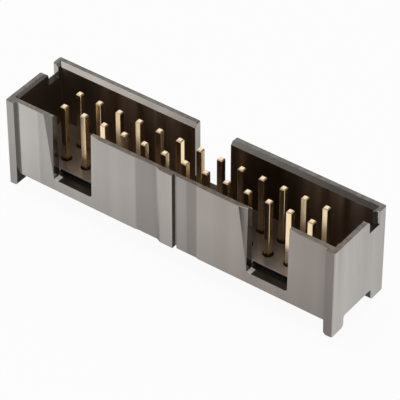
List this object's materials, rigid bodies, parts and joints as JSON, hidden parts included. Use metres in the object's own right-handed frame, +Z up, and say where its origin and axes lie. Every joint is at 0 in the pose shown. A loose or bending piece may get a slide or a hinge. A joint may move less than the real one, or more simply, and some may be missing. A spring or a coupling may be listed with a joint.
{
  "type": "pin header",
  "caption": "Boxed header for a circuit board: square gold pins in two rows stand in an open-topped plastic housing with key notches, end slots and corner feet.",
  "frame": {"origin": "middle of the pin field, on the board face that the housing's feet stand on", "axes": "+X along the pin rows, -Y towards the wall with the two key notches, +Z up out of the board towards the open rim"},
  "size_m": [0.0404, 0.009, 0.0123],
  "materials": {
    "housing_plastic": "glossy moulded dark grey plastic with a slight brown tint",
    "pin_gold": "bright gold plating on drawn square wire"
  },
  "bodies": {
    "root": {"housing": "housing_plastic", "pin_a01": "pin_gold", "pin_a02": "pin_gold", "pin_a03": "pin_gold", "pin_a04": "pin_gold", "pin_a05": "pin_gold", "pin_a06": "pin_gold", "pin_a07": "pin_gold", "pin_a08": "pin_gold", "pin_a09": "pin_gold", "pin_a10": "pin_gold", "pin_a11": "pin_gold", "pin_a12": "pin_gold", "pin_a13": "pin_gold", "pin_b01": "pin_gold", "pin_b02": "pin_gold", "pin_b03": "pin_gold", "pin_b04": "pin_gold", "pin_b05": "pin_gold", "pin_b06": "pin_gold", "pin_b07": "pin_gold", "pin_b08": "pin_gold", "pin_b09": "pin_gold", "pin_b10": "pin_gold", "pin_b11": "pin_gold", "pin_b12": "pin_gold", "pin_b13": "pin_gold"}
  },
  "joints": []
}
